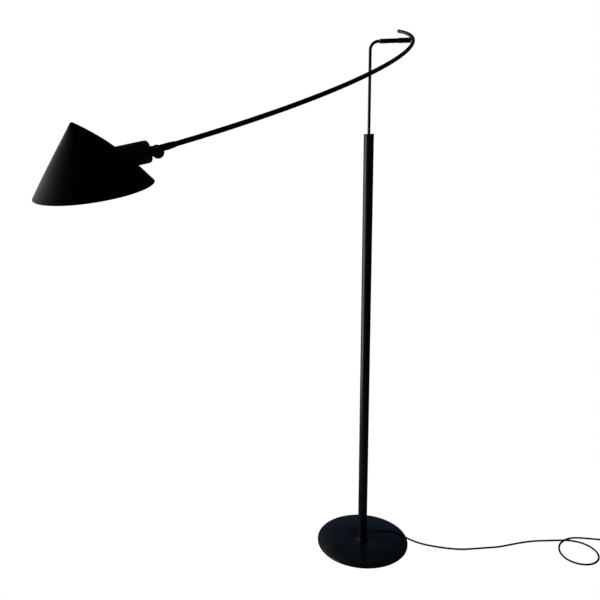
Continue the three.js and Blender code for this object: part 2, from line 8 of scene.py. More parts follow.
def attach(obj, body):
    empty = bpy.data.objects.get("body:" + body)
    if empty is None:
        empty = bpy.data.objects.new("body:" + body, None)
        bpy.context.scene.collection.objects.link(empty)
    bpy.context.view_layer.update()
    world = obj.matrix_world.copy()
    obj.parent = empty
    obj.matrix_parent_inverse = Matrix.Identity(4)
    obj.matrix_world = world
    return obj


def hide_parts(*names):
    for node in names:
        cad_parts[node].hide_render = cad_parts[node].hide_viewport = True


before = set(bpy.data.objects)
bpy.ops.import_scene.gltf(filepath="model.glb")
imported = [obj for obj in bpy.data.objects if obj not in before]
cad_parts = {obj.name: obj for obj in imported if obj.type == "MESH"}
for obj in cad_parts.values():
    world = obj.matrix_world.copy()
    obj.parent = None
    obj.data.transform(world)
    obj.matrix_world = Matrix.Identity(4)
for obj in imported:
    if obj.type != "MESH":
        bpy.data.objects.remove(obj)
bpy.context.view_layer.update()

# Metres, the part's own frame: +Z up, origin on the floor under the middle of the base.
MM = 0.001
WELD = 1e-7


# The part's driving dimensions, in millimetres
BASE_R = 140
PAD_R = 134
PAD_TOP = 2.1
PLATE_TOP = 9
POST_R = 13.75
POST_BORE = 11.75
POST_TOP = 1234
CAP_TOP = 1238
CAP_FROM = 1209
OUTLET_R = 4.2
EXIT_Z = 47.5
EXIT_AZ = radians(-35)
CORD_R = 2.75
ROD_R = 4
ROD_BORE = 2.8
ROD_FOOT = 940
BAR_Z = 1472
BAR_AZ = radians(-4.7)
BAR_END = 66
BEND_R = 21
ARM_R = 4.7
ARM_BORE = 3.4
FERRULE_R = 6.25
KNUCKLE_AHEAD = 22
KNUCKLE_DROP = 3.9
HEAD_ROLL = radians(10.65)
HEAD_TILT = radians(-3.85)
LUG_R = 11.3
LUG_OUT = 6.3
LUG_IN = 0.8
NECK_CLEAR = 13.5
BOLT_R = 1.9
NUT_FLATS = 7
HOLDER_R = 19.5
HOLDER_RISE = 3.5
HOLDER_BACK = 11.5


# ------------------------------------------------------------------ camera
def set_camera():
    """Low studio camera in front of the lamp, a little to its left, looking slightly down."""
    pitch = 0.2193
    roll = 0.0180
    across = Vector((1, 0, 0))
    forward = Vector((0, cos(pitch), -sin(pitch)))
    up = Vector((0, sin(pitch), cos(pitch)))
    right = cos(roll) * across - sin(roll) * up
    top = sin(roll) * across + cos(roll) * up
    data = bpy.data.cameras.new("camera")
    data.sensor_width = 36
    data.lens = 36
    data.shift_x = 0.0445
    data.shift_y = 0.01783
    data.clip_end = 50
    camera = bpy.data.objects.new("camera", data)
    rotation = Matrix((right, top, -forward)).transposed().to_4x4()
    camera.matrix_world = Matrix.Translation((-0.2679, -1.6923, 1.1291)) @ rotation
    bpy.context.collection.objects.link(camera)
    bpy.context.scene.camera = camera


set_camera()


# ------------------------------------------------------------------ node group helpers
def socket(group, name, kind, way="INPUT", value=None):
    """A named socket on a node group."""
    made = group.interface.new_socket(name=name, in_out=way, socket_type=kind)
    if value is not None:
        made.default_value = value
    return made


def math(tree, operation, a, b=None, clamp=False):
    """One Math node; a and b are numbers or sockets."""
    made = tree.nodes.new("ShaderNodeMath")
    made.operation = operation
    made.use_clamp = clamp
    for i, value in enumerate((a, b)):
        if value is None:
            continue
        if isinstance(value, (int, float)):
            made.inputs[i].default_value = value
        else:
            tree.links.new(value, made.inputs[i])
    return made.outputs[0]


def ramp(tree, value, low, high, out_low=0.0, out_high=1.0):
    """Clamped remap of a value."""
    made = tree.nodes.new("ShaderNodeMapRange")
    made.inputs["From Min"].default_value = low
    made.inputs["From Max"].default_value = high
    made.inputs["To Min"].default_value = out_low
    made.inputs["To Max"].default_value = out_high
    tree.links.new(value, made.inputs["Value"])
    return made.outputs["Result"]


def speckle(tree, scale, detail=3.0, roughness=0.6, stretch=None):
    """Noise in the piece's own coordinates."""
    place = tree.nodes.new("ShaderNodeTexCoord")
    vector = place.outputs["Object"]
    if stretch:
        mapping = tree.nodes.new("ShaderNodeMapping")
        mapping.inputs["Scale"].default_value = stretch
        tree.links.new(vector, mapping.inputs["Vector"])
        vector = mapping.outputs["Vector"]
    made = tree.nodes.new("ShaderNodeTexNoise")
    made.inputs["Scale"].default_value = scale
    made.inputs["Detail"].default_value = detail
    made.inputs["Roughness"].default_value = roughness
    tree.links.new(vector, made.inputs["Vector"])
    return made.outputs["Fac"]


def new_group(name):
    group = bpy.data.node_groups.new(name, "ShaderNodeTree")
    return group, group.nodes.new("NodeGroupInput"), group.nodes.new("NodeGroupOutput")


def mix_colour(tree, factor, a, b):
    """Colour b over colour a by a factor; each is a socket or a colour."""
    made = tree.nodes.new("ShaderNodeMix")
    made.data_type = "RGBA"
    for value, name in ((factor, 0), (a, 6), (b, 7)):
        if isinstance(value, (int, float)):
            made.inputs[name].default_value = value
        elif isinstance(value, tuple):
            made.inputs[name].default_value = value
        else:
            tree.links.new(value, made.inputs[name])
    return made.outputs[2]


def scaled(tree, colour, factor):
    """Colour times a factor that changes over the surface."""
    made = tree.nodes.new("ShaderNodeVectorMath")
    made.operation = "SCALE"
    tree.links.new(colour, made.inputs[0])
    tree.links.new(factor, made.inputs["Scale"])
    return made.outputs[0]


def surface_sockets(group, colour, **numbers):
    """Sockets of every finish group: colour and roughness in, the same and a height out."""
    socket(group, "Colour", "NodeSocketColor", value=(*colour, 1))
    for name, value in numbers.items():
        socket(group, name, "NodeSocketFloat", value=value)
    socket(group, "Colour", "NodeSocketColor", "OUTPUT")
    socket(group, "Roughness", "NodeSocketFloat", "OUTPUT")
    socket(group, "Height", "NodeSocketFloat", "OUTPUT")


def give(group, outside, colour, roughness, height):
    group.links.new(colour, outside.inputs["Colour"])
    group.links.new(roughness, outside.inputs["Roughness"])
    group.links.new(height, outside.inputs["Height"])


def make_stoving():
    """Stove enamel: fine orange peel, a slow cloud of tone and a drift of gloss."""
    group, inside, outside = new_group("stove_enamel")
    surface_sockets(group, (0.01, 0.01, 0.01), Roughness=0.45, Lift=0.3, Drift=0.06)
    peel = speckle(group, 900, 2.0, 0.5)
    fine = speckle(group, 2600, 1.0, 0.5)
    cloud = ramp(group, speckle(group, 9, 4.0, 0.6), 0.3, 0.7, -1, 1)
    tone = math(group, "ADD", math(group, "MULTIPLY", cloud, inside.outputs["Lift"]), 1.0)
    drift = math(group, "MULTIPLY", cloud, inside.outputs["Drift"])
    grainy = math(group, "ADD", ramp(group, fine, 0.3, 0.7, -0.03, 0.03), drift)
    rough = math(group, "ADD", grainy, inside.outputs["Roughness"], True)
    waves = math(group, "MULTIPLY", peel, 0.7)
    height = math(group, "ADD", waves, math(group, "MULTIPLY", fine, 0.3))
    give(group, outside, scaled(group, inside.outputs["Colour"], tone), rough, height)
    return group


def make_tool_marks():
    """Fine turned lines on bare metal, with patches where it has dulled."""
    group, inside, outside = new_group("tool_marks")
    surface_sockets(group, (0.5, 0.5, 0.5), Roughness=0.3, Stretch=6.0)
    place = group.nodes.new("ShaderNodeTexCoord")
    split = group.nodes.new("ShaderNodeSeparateXYZ")
    join = group.nodes.new("ShaderNodeCombineXYZ")
    group.links.new(place.outputs["Object"], split.inputs[0])
    group.links.new(split.outputs["X"], join.inputs["X"])
    group.links.new(split.outputs["Y"], join.inputs["Y"])
    along = math(group, "MULTIPLY", split.outputs["Z"], inside.outputs["Stretch"])
    group.links.new(along, join.inputs["Z"])
    lines = group.nodes.new("ShaderNodeTexNoise")
    lines.inputs["Scale"].default_value = 500
    group.links.new(join.outputs[0], lines.inputs["Vector"])
    cloud = speckle(group, 60, 4.0, 0.6)
    tone = ramp(group, cloud, 0.3, 0.7, 1.0, 0.7)
    scratched = ramp(group, lines.outputs["Fac"], 0.3, 0.7, -0.08, 0.12)
    rough = math(group, "ADD", scratched, inside.outputs["Roughness"])
    give(group, outside, scaled(group, inside.outputs["Colour"], tone), rough, lines.outputs["Fac"])
    return group


def make_moulding_skin():
    """Spark-eroded skin of moulded plastic and rubber."""
    group, inside, outside = new_group("moulding_skin")
    surface_sockets(group, (0.01, 0.01, 0.01), Roughness=0.5, Lift=0.4)
    skin = speckle(group, 700, 2.0, 0.6)
    cloud = ramp(group, speckle(group, 30, 3.0, 0.6), 0.3, 0.7, -1, 1)
    tone = math(group, "ADD", math(group, "MULTIPLY", cloud, inside.outputs["Lift"]), 1.0)
    sparked = ramp(group, skin, 0.3, 0.7, -0.06, 0.08)
    rough = math(group, "ADD", sparked, inside.outputs["Roughness"], True)
    give(group, outside, scaled(group, inside.outputs["Colour"], tone), rough, skin)
    return group


def make_edge_wear():
    """Mask of the rubbed outer edges, broken up by noise."""
    group, inside, outside = new_group("rubbed_edges")
    socket(group, "Amount", "NodeSocketFloat", value=0.5)
    socket(group, "Mask", "NodeSocketFloat", "OUTPUT")
    shape = group.nodes.new("ShaderNodeNewGeometry")
    outer = ramp(group, shape.outputs["Pointiness"], 0.53, 0.62)
    broken = ramp(group, speckle(group, 120, 5.0, 0.7), 0.42, 0.62)
    rubbed = math(group, "MULTIPLY", outer, broken)
    mask = math(group, "MULTIPLY", rubbed, inside.outputs["Amount"], True)
    group.links.new(mask, outside.inputs["Mask"])
    return group


def make_dust():
    """Thin dust that gathers on what faces up."""
    group, inside, outside = new_group("settled_dust")
    socket(group, "Amount", "NodeSocketFloat", value=0.1)
    socket(group, "Mask", "NodeSocketFloat", "OUTPUT")
    shape = group.nodes.new("ShaderNodeNewGeometry")
    split = group.nodes.new("ShaderNodeSeparateXYZ")
    group.links.new(shape.outputs["Normal"], split.inputs[0])
    upward = ramp(group, split.outputs["Z"], 0.3, 1.0)
    patch = ramp(group, speckle(group, 35, 5.0, 0.65), 0.35, 0.75, 0.1, 0.5)
    specks = ramp(group, speckle(group, 900, 1.0, 0.5), 0.66, 0.74)
    both = math(group, "MULTIPLY", upward, math(group, "ADD", patch, specks))
    mask = math(group, "MULTIPLY", both, inside.outputs["Amount"], True)
    group.links.new(mask, outside.inputs["Mask"])
    return group


STOVING = make_stoving()
TOOL_MARKS = make_tool_marks()
MOULDING_SKIN = make_moulding_skin()
RUBBED_EDGES = make_edge_wear()
SETTLED_DUST = make_dust()
BARE_STEEL = (0.16, 0.15, 0.14, 1)
DUST_GREY = (0.3, 0.29, 0.27, 1)


# ------------------------------------------------------------------ materials
def place_group(tree, group, **values):
    made = tree.nodes.new("ShaderNodeGroup")
    made.node_tree = group
    for name, value in values.items():
        made.inputs[name].default_value = value
    return made


def start_material(name, **shader_values):
    """A material with its own Principled shader and fixed values on its sockets."""
    material = bpy.data.materials.new(name)
    material.use_nodes = True
    tree = material.node_tree
    shader = tree.nodes["Principled BSDF"]
    for key, value in shader_values.items():
        shader.inputs[key.replace("_", " ")].default_value = value
    return material, tree, shader


def bump(tree, shader, height, strength, distance):
    made = tree.nodes.new("ShaderNodeBump")
    made.inputs["Strength"].default_value = strength
    made.inputs["Distance"].default_value = distance
    tree.links.new(height, made.inputs["Height"])
    tree.links.new(made.outputs["Normal"], shader.inputs["Normal"])


def enamelled(name, colour, roughness, specular, wear=0.35, dust=0.06, lift=0.3, peel=0.12):
    """Black stove enamel over metal, rubbed at its edges and a little dusty."""
    material, tree, shader = start_material(name, Specular_IOR_Level=specular)
    coat = place_group(tree, STOVING, Colour=(*colour, 1), Roughness=roughness, Lift=lift)
    edge = place_group(tree, RUBBED_EDGES, Amount=wear)
    film = place_group(tree, SETTLED_DUST, Amount=dust)
    worn = mix_colour(tree, edge.outputs["Mask"], coat.outputs["Colour"], BARE_STEEL)
    dusty = mix_colour(tree, film.outputs["Mask"], worn, DUST_GREY)
    tree.links.new(dusty, shader.inputs["Base Color"])
    dull = math(tree, "MULTIPLY", film.outputs["Mask"], 0.4)
    rough = math(tree, "ADD", coat.outputs["Roughness"], dull, True)
    tree.links.new(rough, shader.inputs["Roughness"])
    bump(tree, shader, coat.outputs["Height"], peel, 0.00012)
    return material


def bare_metal(name, colour, roughness, stretch):
    """Turned or rolled metal with fine machining lines."""
    material, tree, shader = start_material(name, Metallic=1.0)
    marks = place_group(tree, TOOL_MARKS, Colour=(*colour, 1), Roughness=roughness, Stretch=stretch)
    tree.links.new(marks.outputs["Colour"], shader.inputs["Base Color"])
    tree.links.new(marks.outputs["Roughness"], shader.inputs["Roughness"])
    bump(tree, shader, marks.outputs["Height"], 0.15, 0.00005)
    return material


def moulded(name, colour, roughness, specular=0.35, relief=0.15, dust=0.06):
    """Moulded plastic or rubber."""
    material, tree, shader = start_material(name, Specular_IOR_Level=specular)
    skin = place_group(tree, MOULDING_SKIN, Colour=(*colour, 1), Roughness=roughness)
    film = place_group(tree, SETTLED_DUST, Amount=dust)
    dusty = mix_colour(tree, film.outputs["Mask"], skin.outputs["Colour"], DUST_GREY)
    tree.links.new(dusty, shader.inputs["Base Color"])
    tree.links.new(skin.outputs["Roughness"], shader.inputs["Roughness"])
    bump(tree, shader, skin.outputs["Height"], relief, 0.00015)
    return material


def opal_glass():
    """Opal lamp glass: a white skin that lets some light through."""
    settings = {"Roughness": 0.28, "Transmission_Weight": 0.25, "IOR": 1.48}
    material, tree, shader = start_material("opal_glass", **settings)
    cloud = ramp(tree, speckle(tree, 40), 0.3, 0.7)
    tone = mix_colour(tree, cloud, (0.86, 0.86, 0.84, 1), (0.9, 0.9, 0.88, 1))
    tree.links.new(tone, shader.inputs["Base Color"])
    return material


def glazed_porcelain():
    """White porcelain of the lampholder core."""
    material, tree, shader = start_material("glazed_porcelain")
    cloud = speckle(tree, 90, 4.0, 0.6)
    patch = ramp(tree, cloud, 0.35, 0.7)
    tone = mix_colour(tree, patch, (0.8, 0.77, 0.7, 1), (0.72, 0.69, 0.6, 1))
    tree.links.new(tone, shader.inputs["Base Color"])
    tree.links.new(ramp(tree, cloud, 0.3, 0.7, 0.16, 0.3), shader.inputs["Roughness"])
    return material


LOOKS = {
    "disc_black": enamelled(
        "disc_enamel", (0.0016, 0.0028, 0.0062), 0.27, 0.4, wear=0.4, dust=0.012
    ),
    "post_black": enamelled(
        "post_enamel", (0.0022, 0.002, 0.0017), 0.33, 0.5, wear=0.3, dust=0.02
    ),
    "black_paint": enamelled(
        "rod_enamel", (0.0024, 0.0022, 0.0018), 0.38, 0.5, wear=0.45, dust=0.04
    ),
    "shade_black": enamelled(
        "shade_enamel", (0.0012, 0.0012, 0.001), 0.68, 0.1, wear=0.2, dust=0.006
    ),
    "shade_inside": enamelled(
        "shade_lining", (0.55, 0.53, 0.48), 0.5, 0.3, wear=0, dust=0, lift=0.04
    ),
    "plastic": moulded("black_plastic", (0.004, 0.004, 0.004), 0.42, 0.4),
    "rubber": moulded("black_rubber", (0.007, 0.007, 0.007), 0.75, 0.2, 0.3),
    # Grey rubber of the arm's end stopper; its warm grey is partly a painted highlight, the light
    # that falls on the arm's tail
    "grey_rubber": moulded("grey_stopper_painted_highlight", (0.1, 0.088, 0.066), 0.6, 0.35, 0.25),
    "cord": moulded("cord_sheath", (0.004, 0.004, 0.0042), 0.5, 0.25, 0.1, 0.02),
    "wire": moulded("core_sleeve", (0.6, 0.58, 0.52), 0.5, 0.4, 0.1, 0),
    "steel": bare_metal("turned_steel", (0.5, 0.5, 0.52), 0.32, 6.0),
    "brass": bare_metal("rolled_brass", (0.72, 0.5, 0.22), 0.28, 0.3),
    "porcelain": glazed_porcelain(),
    "glass": opal_glass(),
}


# ------------------------------------------------------------------ mesh helpers
def rough_piece(name, bm, place=None):
    """A mesh object that isn't settled on a body yet."""
    if place is not None:
        bm.transform(place)
    bmesh.ops.remove_doubles(bm, verts=bm.verts, dist=WELD)
    bmesh.ops.recalc_face_normals(bm, faces=bm.faces)
    mesh = bpy.data.meshes.new(name)
    bm.to_mesh(mesh)
    bm.free()
    piece = bpy.data.objects.new(name, mesh)
    bpy.context.collection.objects.link(piece)
    return piece


def finish_piece(name, bm, body, replaced, look, sharp=35.0, place=None):
    """Turns a bmesh into a smooth shaded piece that rides on its body."""
    return settle(rough_piece(name, bm, place), body, replaced, look, sharp)


def settle(piece, body, replaced, look, sharp=35.0):
    """Smooth shading, a look, and the body and CAD nodes that a piece belongs to."""
    for face in piece.data.polygons:
        face.use_smooth = True
    piece.data.set_sharp_from_angle(angle=radians(sharp))
    if not piece.data.materials:
        piece.data.materials.append(LOOKS[look])
    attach(piece, body)
    if replaced:
        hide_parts(*replaced)
    return piece


def rounded(points, radius, steps=3, closed=False):
    """Profile with its corners turned into small arcs. A radius may be given as a third number."""
    count = len(points)
    made = []
    for i, point in enumerate(points):
        own = point[2] if len(point) > 2 else radius
        here = Vector(point[:2])
        if (not closed and i in (0, count - 1)) or own <= 0:
            made.append(here)
            continue
        before = Vector(points[i - 1][:2]) - here
        after = Vector(points[(i + 1) % count][:2]) - here
        cut = min(own, before.length * 0.45, after.length * 0.45)
        if cut < 1e-6 or before.angle(after) > 3.1:
            made.append(here)
            continue
        start = here + before.normalized() * cut
        end = here + after.normalized() * cut
        for k in range(steps + 1):
            t = k / steps
            made.append(start * (1 - t) ** 2 + here * 2 * t * (1 - t) + end * t * t)
    return made


def join_rings(bm, pairs):
    """Faces between rings of the same count; where a ring is a single point they are triangles."""
    for low, high in pairs:
        for i in range(len(low)):
            j = (i + 1) % len(low)
            corners = [low[i], low[j], high[j], high[i]]
            corners = [v for k, v in enumerate(corners) if v not in corners[:k]]
            if len(corners) > 2:
                bm.faces.new(corners)


def lathe(profile, segments=96, closed=False):
    """bmesh of a profile of (radius, height) turned round Z. Millimetres in, metres out."""
    bm = bmesh.new()
    rings = []
    for r, z in profile:
        if r < 1e-6:
            rings.append([bm.verts.new((0, 0, z * MM))] * segments)
            continue
        ring = []
        for i in range(segments):
            angle = 2 * pi * i / segments
            ring.append(bm.verts.new((r * cos(angle) * MM, r * sin(angle) * MM, z * MM)))
        rings.append(ring)
    pairs = list(zip(rings, rings[1:]))
    if closed:
        pairs.append((rings[-1], rings[0]))
    join_rings(bm, pairs)
    return bm


def turned(
    name, profile, body, replaced, look, segments=96, closed=True, edge=0.4, place=None, sharp=35.0
):
    """Turned piece with eased corners."""
    bm = lathe(rounded(profile, edge, closed=closed), segments, closed)
    return finish_piece(name, bm, body, replaced, look, sharp, place)


def sections(points):
    """Even frames along a line of points."""
    tangents = []
    for i, point in enumerate(points):
        before = points[max(0, i - 1)]
        after = points[min(len(points) - 1, i + 1)]
        tangents.append((after - before).normalized())
    side = tangents[0].orthogonal().normalized()
    made = []
    for point, tangent in zip(points, tangents):
        side = (side - tangent * side.dot(tangent)).normalized()
        made.append((point, side, tangent.cross(side)))
    return made


def sweep(points, radius, sides=24, bore=0.0, radii=None):
    """bmesh of a round bar along points in metres; with a bore it is an open tube."""
    bm = bmesh.new()
    frames = sections(points)

    def skin(size):
        rings = []
        for k, (point, side, other) in enumerate(frames):
            r = size if radii is None else radii[k] * size / radius
            ring = []
            for i in range(sides):
                angle = 2 * pi * i / sides
                at = point + side * (r * cos(angle)) + other * (r * sin(angle))
                ring.append(bm.verts.new(at))
            rings.append(ring)
        join_rings(bm, zip(rings, rings[1:]))
        return rings

    outer = skin(radius)
    if bore <= 0:
        bm.faces.new(outer[0])
        bm.faces.new(outer[-1])
        return bm
    inner = skin(bore)
    join_rings(bm, [(outer[0], inner[0]), (outer[-1], inner[-1])])
    return bm


def carve(piece, operation, *tools):
    """Boolean with other pieces, which are used up."""
    for tool in tools:
        modifier = piece.modifiers.new("carve", "BOOLEAN")
        modifier.operation = operation
        modifier.solver = "EXACT"
        modifier.object = tool
    graph = bpy.context.evaluated_depsgraph_get()
    mesh = bpy.data.meshes.new_from_object(piece.evaluated_get(graph))
    piece.modifiers.clear()
    old = piece.data
    piece.data = mesh
    bpy.data.meshes.remove(old)
    for tool in tools:
        bpy.data.objects.remove(tool, do_unlink=True)
    return piece


def cylinder(radius, low, high, segments=64, edge=0.3):
    """Plain or eased turned bar, from low to high on Z, in millimetres."""
    return lathe(rounded([(0, low), (radius, low), (radius, high), (0, high)], edge), segments)


def box_mesh(x, y, z, edge=0.4):
    """Block with eased edges, millimetres."""
    bm = bmesh.new()
    bmesh.ops.create_cube(bm, size=1)
    size = Vector((x[1] - x[0], y[1] - y[0], z[1] - z[0])) * MM
    middle = Vector((x[0] + x[1], y[0] + y[1], z[0] + z[1])) * (MM / 2)
    for vert in bm.verts:
        vert.co = Vector(a * b for a, b in zip(vert.co, size)) + middle
    if edge > 0:
        how = {"segments": 3, "profile": 0.5, "affect": "EDGES"}
        bmesh.ops.bevel(bm, geom=bm.edges, offset=edge * MM, **how)
    return bm


def catmull(knots, spacing):
    """Points every spacing metres on one smooth curve through the knots."""
    knots = [Vector(k) for k in knots]
    ends = [knots[0] * 2 - knots[1], *knots, knots[-1] * 2 - knots[-2]]
    dense = []
    for p0, p1, p2, p3 in zip(ends, ends[1:], ends[2:], ends[3:]):
        t1 = (p1 - p0).length ** 0.5
        t2 = t1 + (p2 - p1).length ** 0.5
        t3 = t2 + (p3 - p2).length ** 0.5
        for k in range(24):
            t = t1 + (t2 - t1) * k / 24
            a1 = p0 * ((t1 - t) / t1) + p1 * (t / t1)
            a2 = p1 * ((t2 - t) / (t2 - t1)) + p2 * ((t - t1) / (t2 - t1))
            a3 = p2 * ((t3 - t) / (t3 - t2)) + p3 * ((t - t2) / (t3 - t2))
            b1 = a1 * ((t2 - t) / t2) + a2 * (t / t2)
            b2 = a2 * ((t3 - t) / (t3 - t1)) + a3 * ((t - t1) / (t3 - t1))
            dense.append(b1 * ((t2 - t) / (t2 - t1)) + b2 * ((t - t1) / (t2 - t1)))
    dense.append(knots[-1])
    made = [dense[0]]
    left = spacing
    for a, b in zip(dense, dense[1:]):
        length = (b - a).length
        while length >= left:
            a = a.lerp(b, left / length)
            length = (b - a).length
            made.append(a)
            left = spacing
        left -= length
    if (made[-1] - dense[-1]).length > spacing * 0.3:
        made.append(dense[-1])
    return made


def millimetres(points):
    return [Vector(p) * MM for p in points]


# ------------------------------------------------------------------ mains cord
ON_FLOOR = 2.85
CORD_ROUTE = [  # x, y and, where the cord is off the floor, the height
    (20.5, -14.3, 47.4),
    (31, -18.2, 47.5),
    (48, -18.2, 46.9),
    (66, -17.2, 45.1),
    (85, -15, 40.8),
    (102, -12.6, 34.4),
    (119, -10, 25.8),
    (133, -8.2, 17.2),
    (145, -8.8, 10.8),
    (158, -12.2, 6.2),
    (173, -18.4, 3.5),
    (194, -28.8),
    (228, -41),
    (262, -50.2),
    (298, -55),
    (336, -53.2),
    (374, -49.8),
    (411, -46.6),
    (453, -36.6),
    (494, -26.4),
    (535, -19.8),
    (572, -18.8),
    (610, -18.2),
    (645, -20.5),
    (676, -34),
    (695, -60),
    (697, -92),
    (680, -122),
    (648, -139),
    (615, -134),
    (593.5, -113),
    (588.5, -87),
    (593.5, -62, 3.2),
    (607, -40, 5.2),
    (628, -26, 8.9),
    (650, -17.5, 9.1),
    (676, -12, 6.2),
    (706, -12, 3.3),
    (745, -19),
    (785, -28),
]
COIL_AT = (812, 0)
PLUG_AT = (886, -20)
PLUG_AZ = radians(14)
PIN_Z = 6.6


def outlet(distance):
    return (distance * cos(EXIT_AZ), distance * sin(EXIT_AZ), EXIT_Z)


def coil_point(angle, radius, height):
    a = radians(angle)
    return (COIL_AT[0] + radius * cos(a), COIL_AT[1] + radius * sin(a), height)


def coil_turns():
    """Four neat turns, two beside each other in each of two layers, then off to the plug."""
    outer, inner = 32.8, 27.25
    low, high = ON_FLOOR, 8.4
    route = []
    # angle, radius, height at the ends of each stretch; the steps between are even
    stretches = [
        (-96, outer + 0.6, low),
        (-60, outer, low),
        (215, outer, low),
        (270, inner, low),
        (540, inner, low),
        (600, inner, high),
        (880, inner, high),
        (940, outer, high),
        (1310, outer, high),
    ]
    for (a0, r0, z0), (a1, r1, z1) in zip(stretches, stretches[1:]):
        steps = max(2, round((a1 - a0) / 20))
        for k in range(steps):
            t = k / steps
            ease = t * t * (3 - 2 * t)
            radius = r0 + (r1 - r0) * ease
            height = z0 + (z1 - z0) * ease
            route.append(coil_point(a0 + (a1 - a0) * t, radius, height))
    leaving = [(1310, outer, high), (1332, 33.6, high), (1350, 35.4, 7.2), (1368, 38.2, 5.2)]
    route.extend(coil_point(*step) for step in leaving)
    return route


def plug_frame():
    spin = Matrix.Rotation(PLUG_AZ, 4, "Z")
    return Matrix.Translation(Vector((*PLUG_AT, 0)) * MM) @ spin


def lay_cord():
    """The whole lead as one spline: outlet, droop, floor, loose loop, coil, plug."""
    into_plug = [(-48, -0.3, 3.7), (-34, 0, PIN_Z), (-16, 0, PIN_Z), (4, 0, PIN_Z)]
    on_plug = [plug_frame() @ (Vector(p) * MM) for p in into_plug]
    route = [(*step, ON_FLOOR)[:3] for step in CORD_ROUTE]
    knots = millimetres([outlet(11), outlet(15), *route, *coil_turns()]) + on_plug
    line = catmull(knots, 0.004)
    data = bpy.data.curves.new("mains_cord", "CURVE")
    data.dimensions = "3D"
    data.bevel_depth = CORD_R * MM
    data.bevel_resolution = 5
    data.use_fill_caps = True
    spline = data.splines.new("POLY")
    spline.points.add(len(line) - 1)
    for point, place in zip(spline.points, line):
        point.co = (*place, 1)
    data.materials.append(LOOKS["cord"])
    cord = bpy.data.objects.new("mains_cord", data)
    bpy.context.collection.objects.link(cord)
    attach(cord, "base")
    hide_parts("power_cord", "cord_coil", "plug_lead")
    length = sum((b - a).length for a, b in zip(line, line[1:]))
    return cord, length


cord, cord_length = lay_cord()


def squared(value, power):
    """A sine or cosine pushed outwards, which turns a circle into a rounded block."""
    return abs(value) ** power * (1 if value >= 0 else -1)


def make_plug():
    """Flat two-pin plug with a ribbed, tapered strain relief and half-sleeved pins."""
    place = plug_frame()
    along = Matrix.Rotation(pi / 2, 4, "Y")
    profile = []
    ribs = 7
    for k in range(ribs):
        x = -31.6 + k * 4.4
        r = 3.75 + 1.5 * k / ribs
        profile += [(r, x), (r + 0.1, x + 2.6), (r - 0.55, x + 2.9), (r - 0.5, x + 4.1)]
    profile += [(5.3, -0.5), (3.2, -0.5), (3.2, -31.6)]
    lift = Matrix.Translation((0, 0, PIN_Z * MM))
    at = place @ lift @ along
    relief = turned("plug_relief", profile, "base", ["strain_relief"], "rubber", 40, True, 0.3, at)

    # stations along the body: distance, half width, half height
    stations = [
        (0.2, 5.8, 4.9),
        (2.0, 7.4, 5.6),
        (6.0, 9.8, 6.2),
        (10.0, 12.0, 6.45),
        (16.0, 13.2, 6.5),
        (26.0, 13.5, 6.5),
        (32.5, 13.6, 6.4),
        (34.4, 13.0, 5.9),
        (35.0, 11.9, 5.2),
    ]
    bm = bmesh.new()
    rings = []
    sides = 40
    squareness = 0.45
    middle = 6.55
    for x, wide, tall in stations:
        ring = []
        for i in range(sides):
            angle = 2 * pi * i / sides
            y = wide * squared(cos(angle), squareness)
            z = tall * squared(sin(angle), squareness + 0.2)
            ring.append(bm.verts.new(Vector((x, y, z + middle)) * MM))
        rings.append(ring)
    join_rings(bm, zip(rings, rings[1:]))
    bm.faces.new(rings[0])
    bm.faces.new(rings[-1])
    body = finish_piece("plug_shell", bm, "base", ["plug_body"], "plastic", 40, place)

    pieces = [relief, body]
    for i, y in enumerate((-9.3, 9.3)):
        at = place @ Matrix.Translation(Vector((0, y, PIN_Z)) * MM) @ along
        pin = [(0, 30), (1.9, 30), (1.9, 52.4), (1.5, 53.8), (0.8, 54.4), (0, 54.4)]
        stands_for = [f"plug_pin_{i + 1}"]
        prong = turned(f"plug_prong_{i + 1}", pin, "base", stands_for, "brass", 32, False, 0.3, at)
        pieces.append(prong)
        sleeve = [(1.95, 34.6), (2.25, 34.6), (2.25, 44.6), (1.95, 44.6)]
        name = f"prong_sleeve_{i + 1}"
        pieces.append(turned(name, sleeve, "base", [], "plastic", 32, True, 0.1, at))
    return pieces


def tie_coil():
    """Short band that holds the turns of the coil together."""
    bm = bmesh.new()
    middle = Vector((COIL_AT[0] - 30.0, COIL_AT[1] + 0.0, 5.7))
    rows = []
    wide = 3.0
    for k in range(32):
        angle = 2 * pi * k / 32
        c, s = cos(angle), sin(angle)
        across = 6.1 * squared(c, 0.6)
        height = 5.6 * squared(s, 0.6)
        row = []
        for y, grow in ((-wide, 0.0), (-wide, 0.7), (wide, 0.7), (wide, 0.0)):
            off = Vector((across + grow * c, y, max(0.05 - middle.z, height + grow * s * 0.4)))
            row.append(bm.verts.new((middle + off) * MM))
        rows.append(row)
    join_rings(bm, zip(rows, rows[1:] + rows[:1]))
    return finish_piece("coil_band", bm, "base", [], "rubber", 40)


plug_pieces = make_plug()
plug_pieces.append(tie_coil())


# ------------------------------------------------------------------ bar and arm directions
BAR = Vector((cos(BAR_AZ), sin(BAR_AZ), 0))
ARC_CENTRE = Vector((-735.14, 204.46, 1365.22))
ARC_R = 878.52
ARC_NORMAL = Vector((-0.189, -0.277, 0.942)).normalized()
JOINT_LONG = 110.4
HEAD_ANGLE = radians(-58.9)
TAIL_ANGLE = radians(16.9)


def on_bar(distance):
    return Vector((BAR.x * distance, BAR.y * distance, BAR_Z))


def flat(vector, normal):
    return (vector - normal * vector.dot(normal)).normalized()


RADIAL = flat(on_bar(JOINT_LONG) - ARC_CENTRE, ARC_NORMAL)
FORWARD = ARC_NORMAL.cross(RADIAL)


def on_arc(angle):
    return ARC_CENTRE + (RADIAL * cos(angle) + FORWARD * sin(angle)) * ARC_R


def arc_direction(angle):
    return FORWARD * cos(angle) - RADIAL * sin(angle)


